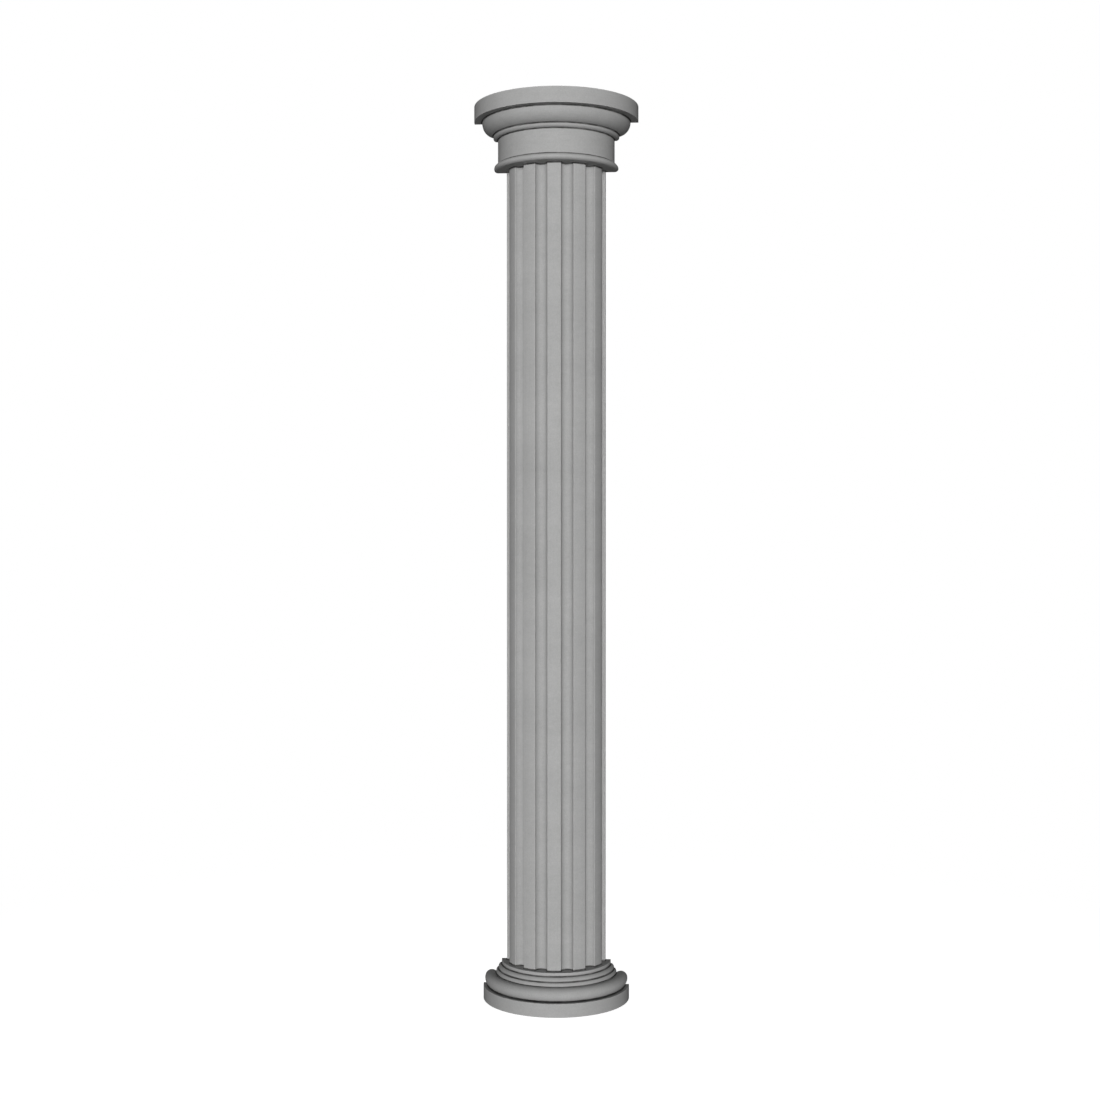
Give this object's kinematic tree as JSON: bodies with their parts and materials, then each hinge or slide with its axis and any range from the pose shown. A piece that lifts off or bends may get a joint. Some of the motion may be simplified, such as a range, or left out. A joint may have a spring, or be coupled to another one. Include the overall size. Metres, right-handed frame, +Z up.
{
  "type": "doric half column",
  "caption": "Half-round fluted doric column with a flat back, on a round moulded base and under a round abacus, to stand against a wall and carry a beam.",
  "frame": {"origin": "middle of the bottom of the whole column's box: on the floor, half the abacus's depth in front of the wall", "axes": "+Z up the column, -Y out of the wall towards the viewer, +Y into the wall, +X to the right as seen from the front"},
  "size_m": [0.505, 0.2524, 2.7432],
  "materials": {
    "base_stone": "dressed smooth, matt",
    "shaft_stone": "dressed smooth, matt",
    "capital_stone": "dressed smooth, matt"
  },
  "bodies": {
    "root": {"base": "base_stone", "shaft": "shaft_stone", "capital": "capital_stone"}
  },
  "joints": []
}
